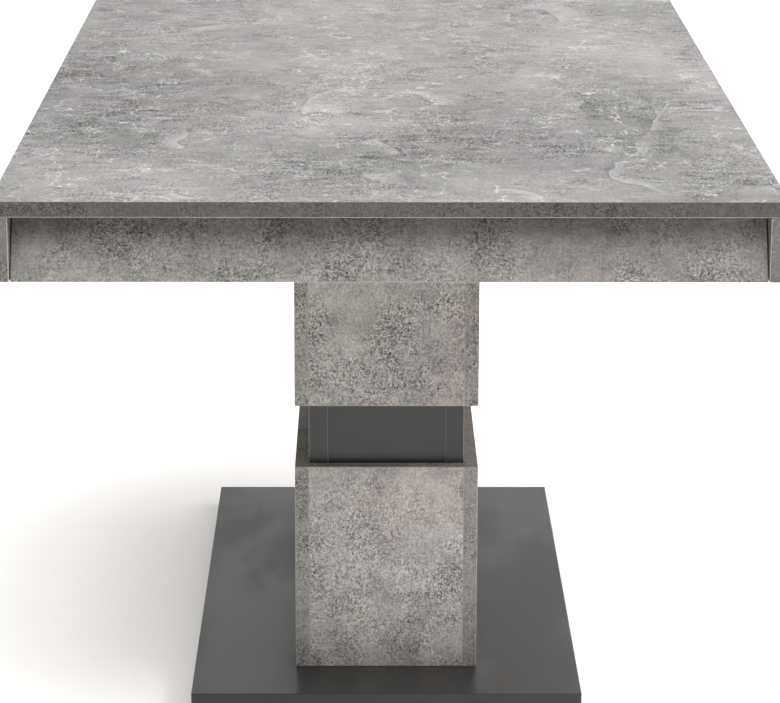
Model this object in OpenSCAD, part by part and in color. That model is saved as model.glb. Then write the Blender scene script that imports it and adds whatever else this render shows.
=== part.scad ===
// Extendable pedestal dining table. X is the width, Y the length, Z is up.
// The origin is on the floor, under the middle of the table. The front end is at -Y.
// Each end has a pull-out: a leaning end board on two bearers, which run in slightly
// inclined guides. A leaf stored under the top rides on it and lifts up flush.

/* [Top] */
// Length of the closed top
top_len = 1600; // [1400:20:2000]
// Width of the top
top_w = 900; // [700:10:1100]
// Thickness of the top and of both leaves
top_t = 18; // [15:0.5:28]
// Height of the table top above the floor
table_h = 760; // [640:10:920]

/* [Aprons] */
// Height of the side aprons
apron_h = 75; // [62:1:110]
// Thickness of the side aprons
apron_t = 20.5; // [16:1:30]
// Thickness of the thin rails across the middle of the frame
rail_t = 15; // [12:1:22]
// How far the top edge of an end board leans back
end_setback = 38; // [20:1:60]
// Thickness of an end board, measured level
end_board_t = 19.5; // [14:0.5:26]

/* [Column] */
// Depth of the column along the table
column_len = 680; // [540:10:820]
// Width of the dark core
core_w = 202; // [160:2:300]
// Thickness of the two core sides
core_side_t = 25; // [16:1:30]
// Thickness of the cladding panels and of the core's end panels
panel_t = 18; // [12:1:25]
// How far the core's end panels stand back from its sides
core_recess = 2; // [1:0.5:6]
// Height of the lower cladding block
lower_block_h = 276; // [180:2:340]
// Open gap between the two cladding blocks
block_gap = 82; // [40:2:140]

/* [Base] */
// Length of the base plate
plate_len = 880; // [720:10:1100]
// Width of the base plate
plate_w = 505; // [400:5:700]
// Thickness of the base plate
plate_t = 25; // [20:1:40]
// Height of the glides under the plate
glide_h = 5; // [3:0.5:12]
// Diameter of a glide
glide_d = 40; // [24:1:60]

/* [Pull-outs] */
// Width of a bearer
bearer_w = 20; // [16:1:28]
// Height of a bearer
bearer_h = 22; // [18:1:30]
// Length of bearer that stays in its guide when pulled out
bearer_hold = 140; // [100:5:200]
// Wall of the guides
guide_wall = 4; // [3:0.5:6]
// Play between a bearer and its guide
guide_play = 0.5; // [0.3:0.1:1]
// Gap between a leaf and each side apron
leaf_side_gap = 2; // [1:0.5:4]
// Gap between the top and a leaf that is out, and over a leaf that is in
leaf_gap = 1.5; // [1:0.1:3]
// Sheet of the lift plates and brackets
sheet_t = 3; // [2:0.5:4]
// Diameter of the pins in the lift slots
lift_pin_d = 8; // [6:0.5:10]

/* [Fastenings] */
// Diameter of the wood dowels
dowel_d = 8; // [6:1:10]
// Diameter of the tie rods
rod_d = 10; // [8:1:12]
// Diameter of the wood screws
screw_d = 4; // [3:0.5:5]
// Radial room round a fastener in its hole
hole_room = 0.1; // [0.05:0.05:0.2]

/* [Hidden] */
$fn = 48;

CONCRETE = "#a3a09d";
ANTHRACITE = "#4a4a4a";
BEECH = "#d9b98c";
STEEL = "#b8bcc0";
BLACK = "#222222";

FRONT = -1;
REAR = 1;
LEFT = -1;
RIGHT = 1;

// Heights
top_under = table_h - top_t;
apron_low = top_under - apron_h;
plate_top = glide_h + plate_t;
lower_top = plate_top + lower_block_h;
upper_low = lower_top + block_gap;
mount_t = 18;
mount_low = top_under - mount_t;

// Gap between two parts that face each other, and past a cut that has to come out
joint_gap = 1;
// Height left under a stored leaf for what it runs over
run_gap = 3;

// Two equal lifts bring a leaf flush: one along the inclined guides, one in the lift slots.
lift = top_t + leaf_gap;
leaf_top = table_h - 2 * lift;
leaf_low = leaf_top - top_t;
block_top = leaf_low - run_gap;

// Lengths along the table, from its middle
end_y = top_len / 2;
column_y = column_len / 2;
core_y = column_y - panel_t;
rail_out = core_y + rail_t;
leaf_in = rail_out + joint_gap;
board_gap = 3.5;
board_foot_y = end_y - joint_gap;
board_top_z = top_under - board_gap;
lean = end_setback / (board_top_z - apron_low);
leaf_out = board_foot_y - end_setback - end_board_t - board_gap;
draw_out = end_y + leaf_gap - leaf_in;
slope = lift / draw_out;

// Widths from the middle
apron_x = top_w / 2 - apron_t;
column_x = core_w / 2 + panel_t;
core_in_x = core_w / 2 - core_side_t;
bearer_x1 = apron_x - guide_wall - guide_play;
bearer_x0 = bearer_x1 - bearer_w;
guide_x0 = bearer_x0 + 4.5;
leaf_x = apron_x - leaf_side_gap;
ear_x1 = bearer_x0 - sheet_t - joint_gap;
board_side_gap = 1;
mount_x = column_x + 120;

// Bearers and guides: each line slopes down towards the middle of the table.
bearer_ref_y = leaf_out + 7;
bearer_in_y = bearer_ref_y - draw_out - bearer_hold;
guide_out_y = bearer_ref_y + 5;
guide_in_y = bearer_in_y - 5;
keeper_out_y = bearer_ref_y - 45;
keeper_t = 3;
function bearer_top(y) = leaf_low - run_gap - (bearer_ref_y - y) * slope;
function bearer_low(y) = bearer_top(y) - bearer_h;
function guide_top(y) = bearer_top(y) + guide_play + keeper_t;
// Depth of an end board's inner face at a height
function board_in_y(z) = board_foot_y - end_board_t - (z - apron_low) * lean;
// Where a sloping line that passes z0 at the reference depth meets that face
function meet_z(z0) = (z0 + slope * (board_foot_y - end_board_t + apron_low * lean - bearer_ref_y))
    / (1 + slope * lean);

// Stop pins run in a slot in the keeper
stop_pin_d = 6;
stop_pin_deep = 12;
stop_pin_x = (bearer_x0 + bearer_x1) / 2;
stop_pin_y = bearer_in_y + 15;
stop_slot_r = stop_pin_d / 2 + 0.5;
stop_slot_y = stop_pin_y + draw_out + stop_slot_r;

// Lift plates and the brackets that run in them
lift_ys = [leaf_in + 102, leaf_out - 98];
lift_plate_w = 34;
lift_slot_r = lift_pin_d / 2 + 0.4;
plate_high = leaf_low - 1.5;
pin_z = plate_high - lift_pin_d - lift;
plate_low = pin_z - 9;
bracket_w = 30;
bracket_leg = 30;
ear_under_pin = 7;
pin_end_gap = 0.5;

// Fastener places
dowel_len = 30;
dowel_in_apron = 20;
dowel_ys = [for (k = [-4:4]) k * (top_len - 160) / 8];
rail_dowel_drops = [15, 40];
rail_dowel_in = 18;
screw_bite = 12;
guide_screw_end = 40;
board_screw_x = column_x + 80;
board_screw_ys = [for (share = [-0.85, -0.3, 0.3, 0.85]) share * core_y];
rod_x = 50;
rod_y = core_y - 122;
rod_low = 8;
rod_room = 0.5;
rod_past_nut = 3;
nut_h = 8;
nut_af = 17;
washer_d = 21;
washer_t = 2;
pocket_room = 2;
head_board_top = block_top + 2;
head_board_t = 18;

// Head angles: two legs, each with a screw near its edge
angle_leg = 23;
angle_w = 40;
angle_y = core_y - 142;
angle_screw_edge = 8;

// Battens under a leaf and across the bearers
leaf_batten_w = 40;
leaf_batten_h = 18;
leaf_batten_ys = [leaf_in + 150, leaf_out - 60];
leaf_batten_x = bearer_x0 - 55;
cross_batten_y = leaf_in + 32;
cross_batten_w = 30;
cross_batten_h = bearer_h - 3;

// Corner blocks behind an end board, each with two screws into its bearer
corner_block_w = 25;
corner_block_len = 50;
corner_block_high = leaf_low - 5;
corner_block_low = corner_block_high - 18;
block_screw_z = corner_block_high - 9;
block_screw_step = 18;
block_screw_len = 38;

// ---- helpers ----

// Extrudes an outline of [y, z] points along X from x0 to x1
module yz(points, x0, x1) {
    translate([x0, 0, 0]) rotate([90, 0, 90]) linear_extrude(x1 - x0) polygon(points);
}

// A box given by its lowest and highest corners
module box(lo, hi) {
    translate(lo) cube(hi - lo);
}

// Draws the children for the rear end, or mirrored for the front end
module at_end(end) {
    mirror([0, end == FRONT ? 1 : 0, 0]) children();
}

// Draws the children for the right side, or mirrored for the left side
module at_side(side) {
    mirror([side == LEFT ? 1 : 0, 0, 0]) children();
}

// Draws the children on both sides
module both_sides() {
    for (side = [LEFT, RIGHT]) at_side(side) children();
}

// A countersunk screw along +Z with its head's flat face at the origin
module screw(len, room = 0) {
    cylinder(h = screw_d / 2, r1 = screw_d + room, r2 = screw_d / 2 + room);
    cylinder(h = len + room, r = screw_d / 2 + room);
}

// ---- top and frame ----

module apron_dowel_row(room = 0) {
    both_sides() for (y = dowel_ys)
        translate([apron_x + apron_t / 2, y, top_under - dowel_in_apron - room])
            cylinder(h = dowel_len + 2 * room, d = dowel_d + 2 * room);
}

module board_screw_set(room = 0) {
    both_sides() for (y = board_screw_ys)
        translate([board_screw_x, y, mount_low]) screw(mount_t + screw_bite, room);
}

module table_top() {
    color(CONCRETE) difference() {
        box([-top_w / 2, -end_y, top_under], [top_w / 2, end_y, table_h]);
        apron_dowel_row(hole_room);
        board_screw_set(hole_room);
    }
}

module rail_dowel_set(room = 0) {
    both_sides() for (end = [FRONT, REAR]) for (drop = rail_dowel_drops)
        translate([apron_x - rail_dowel_in - room, end * (core_y + rail_t / 2), top_under - drop]) rotate([0, 90, 0])
            cylinder(h = dowel_len + 2 * room, d = dowel_d + 2 * room);
}

module guide_screw_set(room = 0) {
    step = (guide_out_y - guide_in_y - 2 * guide_screw_end) / 3;
    both_sides() for (end = [FRONT, REAR]) at_end(end) for (k = [0:3]) {
        y = guide_in_y + guide_screw_end + k * step;
        translate([apron_x - guide_wall, y, bearer_top(y) - bearer_h / 2]) rotate([0, 90, 0])
            screw(guide_wall + screw_bite, room);
    }
}

module side_apron(side) {
    color(CONCRETE) difference() {
        at_side(side) box([apron_x, -end_y, apron_low], [top_w / 2, end_y, top_under]);
        apron_dowel_row(hole_room);
        rail_dowel_set(hole_room);
        guide_screw_set(hole_room);
    }
}

module centre_rail(end) {
    color(BEECH) difference() {
        at_end(end) difference() {
            box([-apron_x, core_y, apron_low], [apron_x, rail_out, top_under]);
            box([-column_x - joint_gap, core_y - joint_gap, apron_low - joint_gap],
                [column_x + joint_gap, rail_out + joint_gap, block_top + joint_gap]);
            both_sides() box([bearer_x0 - 1.5, core_y - joint_gap, apron_low - joint_gap],
                [apron_x + joint_gap, rail_out + joint_gap, guide_top(rail_out) + joint_gap]);
        }
        rail_dowel_set(hole_room);
    }
}

module mounting_board() {
    color(BEECH) difference() {
        box([-mount_x, -core_y, mount_low], [mount_x, core_y, top_under]);
        board_screw_set(hole_room);
        angle_screw_set(hole_room);
    }
}

module board_screws() {
    color(STEEL) board_screw_set();
}

module apron_dowels() {
    color(BEECH) apron_dowel_row();
}

module rail_dowels() {
    color(BEECH) rail_dowel_set();
}

// A sloping strip between two depths, lying between two heights above the bearer's top line
module sloping_strip(y0, y1, low, high, x0, x1) {
    yz([[y0, bearer_top(y0) + low], [y1, bearer_top(y1) + low],
        [y1, bearer_top(y1) + high], [y0, bearer_top(y0) + high]], x0, x1);
}

// A channel open to the inside, whose upper lip keeps the bearer down and is slotted for the stop pin
module guide(end, side) {
    floor_top = -bearer_h - guide_play;
    lip_top = guide_play + keeper_t;
    color(BLACK) difference() {
        at_end(end) at_side(side) difference() {
            sloping_strip(guide_in_y, guide_out_y, floor_top - guide_wall, lip_top, guide_x0, apron_x);
            sloping_strip(guide_in_y - joint_gap, guide_out_y + joint_gap, floor_top, guide_play,
                guide_x0 - joint_gap, apron_x - guide_wall);
            sloping_strip(keeper_out_y, guide_out_y + joint_gap, guide_play / 2, lip_top + joint_gap,
                guide_x0 - joint_gap, apron_x + joint_gap);
            sloping_strip(guide_in_y - joint_gap, stop_slot_y, guide_play / 2, lip_top + joint_gap,
                stop_pin_x - stop_slot_r, stop_pin_x + stop_slot_r);
        }
        guide_screw_set(hole_room);
    }
}

module guide_screws() {
    color(STEEL) guide_screw_set();
}

// ---- column ----

module rod_places() {
    for (x = [-rod_x, rod_x]) for (y = [-rod_y, rod_y]) translate([x, y, 0]) children();
}

module rod_holes() {
    rod_places() cylinder(h = table_h, d = rod_d + 2 * rod_room);
}

module angle_places() {
    both_sides() for (y = [-angle_y, angle_y]) translate([core_w / 2, y, mount_low]) children();
}

module angle_screw_set(room = 0) {
    angle_places() {
        translate([angle_leg - angle_screw_edge, 0, -sheet_t]) screw(sheet_t + screw_bite, room);
        translate([sheet_t, 0, angle_screw_edge - angle_leg]) rotate([0, -90, 0]) screw(sheet_t + screw_bite, room);
    }
}

module core_side(side) {
    color(ANTHRACITE) difference() {
        at_side(side) box([core_in_x, -core_y, plate_top], [core_w / 2, core_y, mount_low]);
        angle_screw_set(hole_room);
    }
}

module core_panel(end) {
    color(ANTHRACITE) at_end(end)
        box([-core_in_x, core_y - core_recess - panel_t, plate_top],
            [core_in_x, core_y - core_recess, mount_low]);
}

module core_board(low, thick) {
    in_y = core_y - core_recess - panel_t;
    color(BEECH) difference() {
        box([-core_in_x, -in_y, low], [core_in_x, in_y, low + thick]);
        rod_holes();
    }
}

module core_head_board() {
    core_board(head_board_top - head_board_t, head_board_t);
}

module core_foot_board() {
    core_board(plate_top, mount_t);
}

module head_angles() {
    color(STEEL) difference() {
        angle_places() {
            box([0, -angle_w / 2, -sheet_t], [angle_leg, angle_w / 2, 0]);
            box([0, -angle_w / 2, -angle_leg], [sheet_t, angle_w / 2, 0]);
        }
        angle_screw_set(hole_room);
    }
}

module angle_screws() {
    color(STEEL) angle_screw_set();
}

module block_panel(end, low, high) {
    color(CONCRETE) at_end(end) box([-core_w / 2, core_y, low], [core_w / 2, column_y, high]);
}

module block_side(side, low, high) {
    color(CONCRETE) at_side(side) box([core_w / 2, -column_y, low], [column_x, column_y, high]);
}

module tie_rods() {
    color(STEEL) rod_places() translate([0, 0, rod_low])
        cylinder(h = head_board_top + washer_t + nut_h + rod_past_nut - rod_low, d = rod_d);
}

// Places for the washer and nut at both ends of a rod, each with +Z pointing off the joint
module nut_places() {
    rod_places() {
        translate([0, 0, head_board_top]) children();
        translate([0, 0, rod_low + nut_h + washer_t]) mirror([0, 0, 1]) children();
    }
}

module tie_rod_washers() {
    color(STEEL) nut_places() difference() {
        cylinder(h = washer_t, d = washer_d);
        translate([0, 0, -joint_gap]) cylinder(h = washer_t + 2 * joint_gap, d = rod_d + 2 * hole_room);
    }
}

module tie_rod_nuts() {
    color(STEEL) nut_places() translate([0, 0, washer_t]) difference() {
        cylinder(h = nut_h, d = nut_af / cos(30), $fn = 6);
        translate([0, 0, -joint_gap]) cylinder(h = nut_h + 2 * joint_gap, d = rod_d + 2 * hole_room);
    }
}

// ---- base ----

module base_plate() {
    color(ANTHRACITE) difference() {
        box([-plate_w / 2, -plate_len / 2, glide_h], [plate_w / 2, plate_len / 2, plate_top]);
        rod_holes();
        rod_places() cylinder(h = rod_low + nut_h + washer_t, d = washer_d + 2 * pocket_room);
    }
}

module floor_glides() {
    glide_x = plate_w / 2 - glide_d;
    glide_y = plate_len / 2 - glide_d;
    color(BLACK) for (x = [-glide_x, glide_x]) for (y = [-glide_y, 0, glide_y])
        translate([x, y, 0]) cylinder(h = glide_h, d = glide_d);
}

// ---- pull-outs ----

module end_board(end) {
    color(CONCRETE) at_end(end) yz([
        [board_foot_y, apron_low],
        [board_foot_y - end_setback, board_top_z],
        [board_foot_y - end_setback - end_board_t, board_top_z],
        [board_foot_y - end_board_t, apron_low],
    ], board_side_gap - apron_x, apron_x - board_side_gap);
}

module stop_pin_set(room = 0) {
    both_sides() translate([stop_pin_x, stop_pin_y, bearer_top(stop_pin_y) - stop_pin_deep - room])
        cylinder(h = stop_pin_deep + keeper_t + room, d = stop_pin_d + 2 * room);
}

module block_screw_set(room = 0) {
    both_sides() for (k = [1, 2])
        translate([bearer_x0 - corner_block_w, board_in_y(block_screw_z) - block_screw_step * k, block_screw_z])
            rotate([0, 90, 0]) screw(block_screw_len, room);
}

module bearer(end, side) {
    top_z = meet_z(leaf_low - run_gap);
    low_z = meet_z(leaf_low - run_gap - bearer_h);
    color(BEECH) at_end(end) difference() {
        at_side(side) yz([
            [bearer_in_y, bearer_low(bearer_in_y)], [board_in_y(low_z), low_z],
            [board_in_y(top_z), top_z], [bearer_in_y, bearer_top(bearer_in_y)],
        ], bearer_x0, bearer_x1);
        stop_pin_set(hole_room);
        block_screw_set(hole_room);
    }
}

module cross_batten(end) {
    low = bearer_low(cross_batten_y) + joint_gap;
    color(BEECH) at_end(end) box([-bearer_x0, cross_batten_y, low],
        [bearer_x0, cross_batten_y + cross_batten_w, low + cross_batten_h]);
}

module corner_blocks(end) {
    low = corner_block_low;
    high = corner_block_high;
    in_y = board_in_y(low) - corner_block_len;
    color(BEECH) at_end(end) difference() {
        both_sides() yz([[board_in_y(low), low], [board_in_y(high), high], [in_y, high], [in_y, low]],
            bearer_x0 - corner_block_w, bearer_x0);
        block_screw_set(hole_room);
    }
}

module block_screws(end) {
    color(STEEL) at_end(end) block_screw_set();
}

module stop_pins(end) {
    color(STEEL) at_end(end) stop_pin_set();
}

module lift_plates(end) {
    color(STEEL) at_end(end) both_sides() for (y = lift_ys) difference() {
        box([bearer_x0 - sheet_t, y - lift_plate_w / 2, plate_low], [bearer_x0, y + lift_plate_w / 2, plate_high]);
        translate([bearer_x0 - sheet_t - joint_gap, 0, 0]) lift_slot(y);
    }
}

// A lift slot's cutter along X: a slot with round ends
module lift_slot(y) {
    long = sheet_t + 2 * joint_gap;
    for (z = [pin_z, pin_z + lift]) translate([0, y, z]) rotate([0, 90, 0]) cylinder(h = long, r = lift_slot_r);
    box([0, y - lift_slot_r, pin_z], [long, y + lift_slot_r, pin_z + lift]);
}

module leaf(end) {
    color(CONCRETE) at_end(end) box([-leaf_x, leaf_in, leaf_low], [leaf_x, leaf_out, leaf_top]);
}

module leaf_battens(end) {
    color(BEECH) at_end(end) for (y = leaf_batten_ys)
        box([-leaf_batten_x, y, leaf_low - leaf_batten_h], [leaf_batten_x, y + leaf_batten_w, leaf_low]);
}

module leaf_brackets(end) {
    half = bracket_w / 2;
    color(STEEL) at_end(end) both_sides() for (y = lift_ys) {
        box([ear_x1 - bracket_leg, y - half, leaf_low - sheet_t], [ear_x1, y + half, leaf_low]);
        box([ear_x1 - sheet_t, y - half, pin_z - ear_under_pin], [ear_x1, y + half, leaf_low]);
        translate([ear_x1 - sheet_t, y, pin_z]) rotate([0, 90, 0])
            cylinder(h = bearer_x0 - pin_end_gap - ear_x1 + sheet_t, d = lift_pin_d);
    }
}

// ---- nodes ----

table_top();
side_apron(LEFT);  // side_apron_left
side_apron(RIGHT);  // side_apron_right
centre_rail(FRONT);  // centre_rail_front
centre_rail(REAR);  // centre_rail_rear
mounting_board();
board_screws();
apron_dowels();
rail_dowels();
guide(FRONT, LEFT);  // guide_front_left
guide(FRONT, RIGHT);  // guide_front_right
guide(REAR, LEFT);  // guide_rear_left
guide(REAR, RIGHT);  // guide_rear_right
guide_screws();
core_side(LEFT);  // core_side_left
core_side(RIGHT);  // core_side_right
core_panel(FRONT);  // core_panel_front
core_panel(REAR);  // core_panel_rear
core_head_board();
core_foot_board();
head_angles();
angle_screws();
block_panel(FRONT, upper_low, block_top);  // upper_panel_front
block_panel(REAR, upper_low, block_top);  // upper_panel_rear
block_side(LEFT, upper_low, block_top);  // upper_side_left
block_side(RIGHT, upper_low, block_top);  // upper_side_right
block_panel(FRONT, plate_top, lower_top);  // lower_panel_front
block_panel(REAR, plate_top, lower_top);  // lower_panel_rear
block_side(LEFT, plate_top, lower_top);  // lower_side_left
block_side(RIGHT, plate_top, lower_top);  // lower_side_right
tie_rods();
tie_rod_nuts();
tie_rod_washers();
base_plate();
floor_glides();
end_board(FRONT);  // front_end_board
bearer(FRONT, LEFT);  // front_bearer_left
bearer(FRONT, RIGHT);  // front_bearer_right
cross_batten(FRONT);  // front_cross_batten
corner_blocks(FRONT);  // front_corner_blocks
block_screws(FRONT);  // front_block_screws
stop_pins(FRONT);  // front_stop_pins
lift_plates(FRONT);  // front_lift_plates
leaf(FRONT);  // front_leaf
leaf_battens(FRONT);  // front_leaf_battens
leaf_brackets(FRONT);  // front_leaf_brackets
end_board(REAR);  // rear_end_board
bearer(REAR, LEFT);  // rear_bearer_left
bearer(REAR, RIGHT);  // rear_bearer_right
cross_batten(REAR);  // rear_cross_batten
corner_blocks(REAR);  // rear_corner_blocks
block_screws(REAR);  // rear_block_screws
stop_pins(REAR);  // rear_stop_pins
lift_plates(REAR);  // rear_lift_plates
leaf(REAR);  // rear_leaf
leaf_battens(REAR);  // rear_leaf_battens
leaf_brackets(REAR);  // rear_leaf_brackets
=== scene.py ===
"""Extendable pedestal dining table: boards, finishes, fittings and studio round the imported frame."""

import logging
import math
import random
from dataclasses import dataclass, replace
from enum import Enum

import bmesh
import bpy
from mathutils import Matrix, Vector


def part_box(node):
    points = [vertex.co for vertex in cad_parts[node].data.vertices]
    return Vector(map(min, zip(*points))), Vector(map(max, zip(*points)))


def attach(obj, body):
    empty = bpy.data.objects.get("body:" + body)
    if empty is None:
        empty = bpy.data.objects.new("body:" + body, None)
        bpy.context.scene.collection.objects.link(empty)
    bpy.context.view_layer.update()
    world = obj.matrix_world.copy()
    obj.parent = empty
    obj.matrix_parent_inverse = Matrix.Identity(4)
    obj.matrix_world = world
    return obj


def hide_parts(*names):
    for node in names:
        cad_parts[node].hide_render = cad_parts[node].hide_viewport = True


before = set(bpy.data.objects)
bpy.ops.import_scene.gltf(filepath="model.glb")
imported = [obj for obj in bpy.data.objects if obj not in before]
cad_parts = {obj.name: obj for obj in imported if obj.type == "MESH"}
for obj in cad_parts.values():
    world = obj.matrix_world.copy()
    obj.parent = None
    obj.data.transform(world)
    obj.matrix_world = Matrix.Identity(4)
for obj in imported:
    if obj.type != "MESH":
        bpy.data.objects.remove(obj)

Material = bpy.types.Material
Mesh = bpy.types.Mesh
Piece = bpy.types.Object
Tree = bpy.types.NodeTree
Node = bpy.types.Node
Link = Node | bpy.types.NodeSocket
Triple = tuple[float, float, float]

LOG = logging.getLogger("dining_table")
MM = 0.001
UV_NAME = "decor"
PRINT_BOARD, DARK_BOARD, STEEL, BEECH, PLASTIC = (
    "concrete_board", "anthracite_board", "zinc_steel", "beech", "black_plastic")

# Kinds of node, and settings, that turn up again and again
MATH, VECTOR, MIX, RANGE, MAPPING, BOOLEAN = (
    "ShaderNodeMath", "ShaderNodeVectorMath", "ShaderNodeMix", "ShaderNodeMapRange", "ShaderNodeMapping",
    "GeometryNodeMeshBoolean")
SMOOTH = {"interpolation_type": "SMOOTHSTEP"}
PRODUCT = {"operation": "MULTIPLY"}
PRODUCT_AND_SUM = {"operation": "MULTIPLY_ADD"}
SCALED = {"operation": "SCALE"}
COVER = {"data_type": "RGBA", "blend_type": "MIX"}
TINT = {"data_type": "RGBA", "blend_type": "MULTIPLY"}
CUT = {"operation": "DIFFERENCE", "solver": "EXACT"}
SHARED = {"operation": "INTERSECT", "solver": "EXACT"}


class Side(Enum):
    """The two ends of the table."""

    FRONT = "front"
    REAR = "rear"


class Grain(Enum):
    """The axis that a board's decor or wood grain runs along."""

    WIDTH = (1.0, 0.0, 0.0)
    LENGTH = (0.0, 1.0, 0.0)
    UPRIGHT = (0.0, 0.0, 1.0)


class Skin(Enum):
    """The material slots of a board, in order."""

    FACE = 0
    BAND = 1
    ARRIS = 2


# ---- colours and nodes


def linear(hex_colour: str) -> tuple[float, float, float, float]:
    """Turns an sRGB hex colour into linear values.

    Args:
        hex_colour: A colour such as "#a3a09d".

    Returns:
        Linear red, green and blue, with an alpha of 1.
    """
    values = []
    for start in (1, 3, 5):
        share = int(hex_colour[start:start + 2], 16) / 255
        values.append(share / 12.92 if share <= 0.04045 else ((share + 0.055) / 1.055) ** 2.4)
    return (values[0], values[1], values[2], 1.0)


def add(tree: Tree, kind: str, settings: dict | None = None, **inputs: object) -> Node:
    """Adds one node, with its settings and its inputs.

    Args:
        tree: The node tree that gets the node.
        kind: Blender's name for the node type.
        settings: Properties of the node itself.
        inputs: Input name to a value, to the socket or node that feeds it, or to a list of those.
            An underscore stands for a space, and in_0, in_1 and so on name an input by its number.

    Returns:
        The new node. As an input of another, a node stands for its first output in use.
    """
    node = tree.nodes.new(kind)
    for name, value in (settings or {}).items():
        setattr(node, name, value)
    for name, value in inputs.items():
        socket = node.inputs[int(name[3:]) if name.startswith("in_") else name.replace("_", " ")]
        for source in value if isinstance(value, list) else [value]:
            if isinstance(source, Node):
                source = next(output for output in source.outputs if output.enabled)
            if isinstance(source, bpy.types.NodeSocket):
                tree.links.new(source, socket)
            else:
                socket.default_value = source
    return node


def new_material(name: str) -> tuple[Material, Tree]:
    """Starts a material with an empty tree, and gives both.

    Args:
        name: The finish's name.

    Returns:
        The material and its tree.
    """
    material = bpy.data.materials.new(name)
    material.use_nodes = True
    material.node_tree.nodes.clear()
    return material, material.node_tree


def surface(tree: Tree, **inputs: object) -> None:
    """Ends a material's tree in a surface shader and the output.

    Args:
        tree: The material's tree.
        inputs: The shader's inputs, as for add().
    """
    shader = add(tree, "ShaderNodeBsdfPrincipled", **inputs)
    add(tree, "ShaderNodeOutputMaterial", Surface=shader)


@dataclass(frozen=True)
class Layer:
    """One layer of irregular marks whose main features have a real size.

    The noise is read on coordinates in metres, squeezed and then shifted: a squeeze under 1 draws
    the marks out along that axis. Noise from low to high becomes the two values in result.
    """

    size_mm: float
    low: float = 0.0
    high: float = 1.0
    detail: float = 2.0
    roughness: float = 0.5
    distortion: float = 0.0
    squeeze: Triple = (1.0, 1.0, 1.0)
    shift: Triple = (0.0, 0.0, 0.0)
    result: tuple[float, float] = (0.0, 1.0)

    def marks(self, tree: Tree, place: Link) -> Node:
        """Draws the marks as they are.

        Args:
            tree: The material's tree.
            place: The coordinates, in metres.

        Returns:
            The noise.
        """
        moved = add(tree, MAPPING, Vector=place, Scale=self.squeeze, Location=self.shift)
        return add(tree, "ShaderNodeTexNoise", Vector=moved, Scale=1 / (self.size_mm * MM),
                   Detail=self.detail, Roughness=self.roughness, Distortion=self.distortion)

    def draw(self, tree: Tree, place: Link) -> Node:
        """Draws the marks with their contrast set.

        Args:
            tree: The material's tree.
            place: The coordinates, in metres.

        Returns:
            The marks, clamped to the two values in result.
        """
        return add(tree, RANGE, SMOOTH, Value=self.marks(tree, place), From_Min=self.low,
                   From_Max=self.high, To_Min=self.result[0], To_Max=self.result[1])

    def stir(self, tree: Tree, place: Link, moved: Link, reach: float) -> Node:
        """Stirs coordinates with the marks.

        Args:
            tree: The material's tree.
            place: Where the marks are read.
            moved: The coordinates to stir.
            reach: How far they are pushed, in metres.

        Returns:
            The stirred coordinates.
        """
        swirl = self.marks(tree, place).outputs["Color"]
        return add(tree, VECTOR, PRODUCT_AND_SUM, in_0=swirl, in_1=(reach, reach, reach),
                   in_2=moved)


# ---- finishes


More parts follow.
